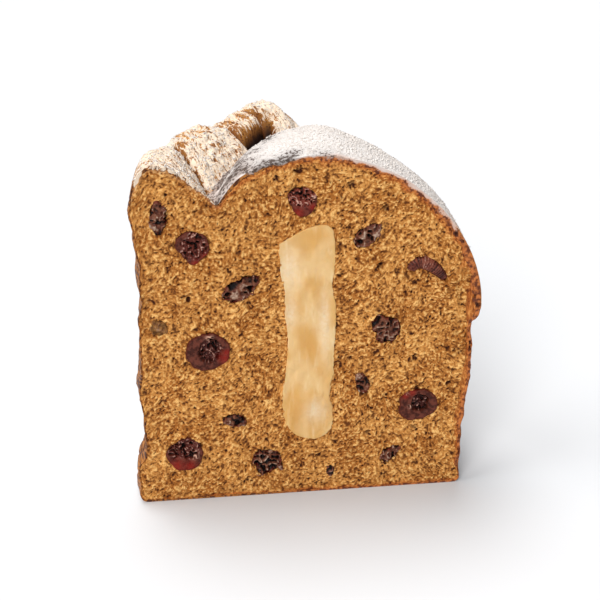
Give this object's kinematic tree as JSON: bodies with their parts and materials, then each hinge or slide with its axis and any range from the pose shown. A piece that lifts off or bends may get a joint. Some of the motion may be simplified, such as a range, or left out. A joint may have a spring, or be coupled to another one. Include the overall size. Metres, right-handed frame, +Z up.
{
  "type": "panettone half",
  "caption": "Half of a tall panettone on its base, cut face forward, with a cream column, raisins, candied cherries and a sugared domed crown.",
  "frame": {"origin": "on the flat base, on the loaf's centre line in X and midway between the cut face and the back", "axes": "+Z up, out of the base; -Y out of the cut face; X along the cut face, the torn ring of crust at -X"},
  "size_m": [0.1809, 0.0962, 0.1958],
  "materials": {
    "crumb": "open, porous golden-brown crumb",
    "crust": "thin baked crust, orange-brown, matt",
    "sugar": "icing sugar dusted on the crown, powdery",
    "cream": "pale custard cream, soft, slightly shiny",
    "cherry": "candied, dark red, moist and glossy",
    "raisin": "wrinkled, dark brown, softly shiny",
    "peel": "candied fruit skin, purple-brown, moist"
  },
  "bodies": {
    "root": {"loaf": "crumb", "cream": "cream", "cherry_1": "cherry", "cherry_2": "cherry", "cherry_3": "cherry", "cherry_4": "cherry", "cherry_5": "cherry", "peel": "peel", "raisin_1": "raisin", "raisin_2": "raisin", "raisin_3": "raisin", "raisin_4": "raisin", "raisin_5": "raisin", "raisin_6": "raisin", "raisin_7": "raisin", "raisin_8": "raisin", "raisin_9": "raisin", "raisin_10": "raisin"}
  },
  "joints": []
}
